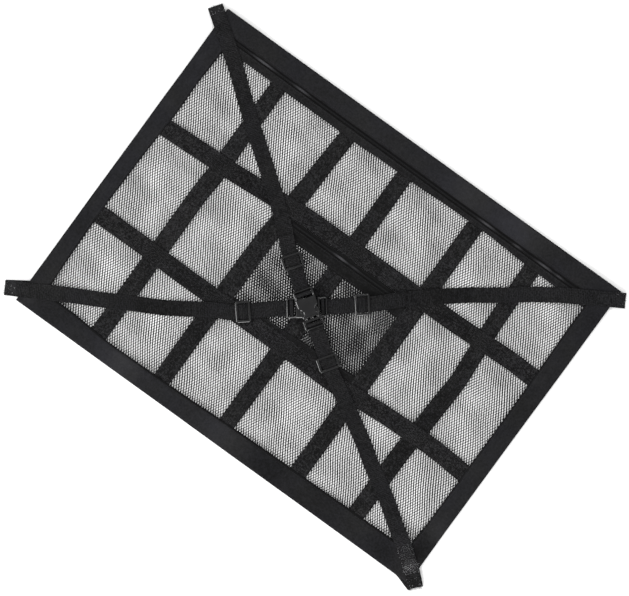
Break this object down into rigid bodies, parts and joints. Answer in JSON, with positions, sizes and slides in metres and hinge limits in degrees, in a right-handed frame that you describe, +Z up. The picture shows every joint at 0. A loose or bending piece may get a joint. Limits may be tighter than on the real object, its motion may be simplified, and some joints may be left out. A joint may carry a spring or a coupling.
{
  "type": "car ceiling storage net",
  "caption": "Flat rectangular mesh storage net with a cloth binding, a sewn webbing grid, zipped pockets and buckled diagonal corner straps for hanging under a car roof.",
  "frame": {"origin": "middle of the panel on its flat underside, the plane that the net lies on", "axes": "+X along the long side toward the right corners, +Y along the short side toward the long zip, +Z up through the buckles"},
  "size_m": [0.8557, 0.609, 0.0222],
  "materials": {
    "net_mesh": "black warp-knit mesh, matt",
    "pocket_mesh": "black warp-knit mesh, matt",
    "binding_cloth": "black woven polyester cloth, matt",
    "facing_cloth": "black woven polyester cloth, matt",
    "tape_webbing": "black ribbed webbing, matt",
    "strap_webbing": "black ribbed webbing, slight sheen",
    "zip": "black coil zip, slight gloss",
    "buckle_plastic": "black acetal, satin"
  },
  "bodies": {
    "root": {"net_panel": "net_mesh", "pocket_panel": "pocket_mesh", "binding_left": "binding_cloth", "binding_right": "binding_cloth", "binding_top": "binding_cloth", "binding_bottom": "binding_cloth", "short_tape_1": "tape_webbing", "short_tape_2": "tape_webbing", "short_tape_3": "tape_webbing", "short_tape_4": "tape_webbing", "short_tape_5": "tape_webbing", "long_tape_1": "tape_webbing", "long_tape_2": "tape_webbing", "top_zip": "zip", "top_zip_facing": "facing_cloth", "middle_zip": "zip", "middle_zip_facing": "facing_cloth", "pocket_hem": "facing_cloth", "strap_top_left": "strap_webbing", "strap_top_right": "strap_webbing", "strap_bottom_left": "strap_webbing", "strap_bottom_right": "strap_webbing", "tri_glide_top_left": "buckle_plastic", "tri_glide_top_right": "buckle_plastic", "tri_glide_bottom_left": "buckle_plastic", "tri_glide_bottom_right": "buckle_plastic", "buckle_upper_socket": "buckle_plastic", "buckle_upper_prongs": "buckle_plastic", "buckle_lower_socket": "buckle_plastic", "buckle_lower_prongs": "buckle_plastic"}
  },
  "joints": []
}
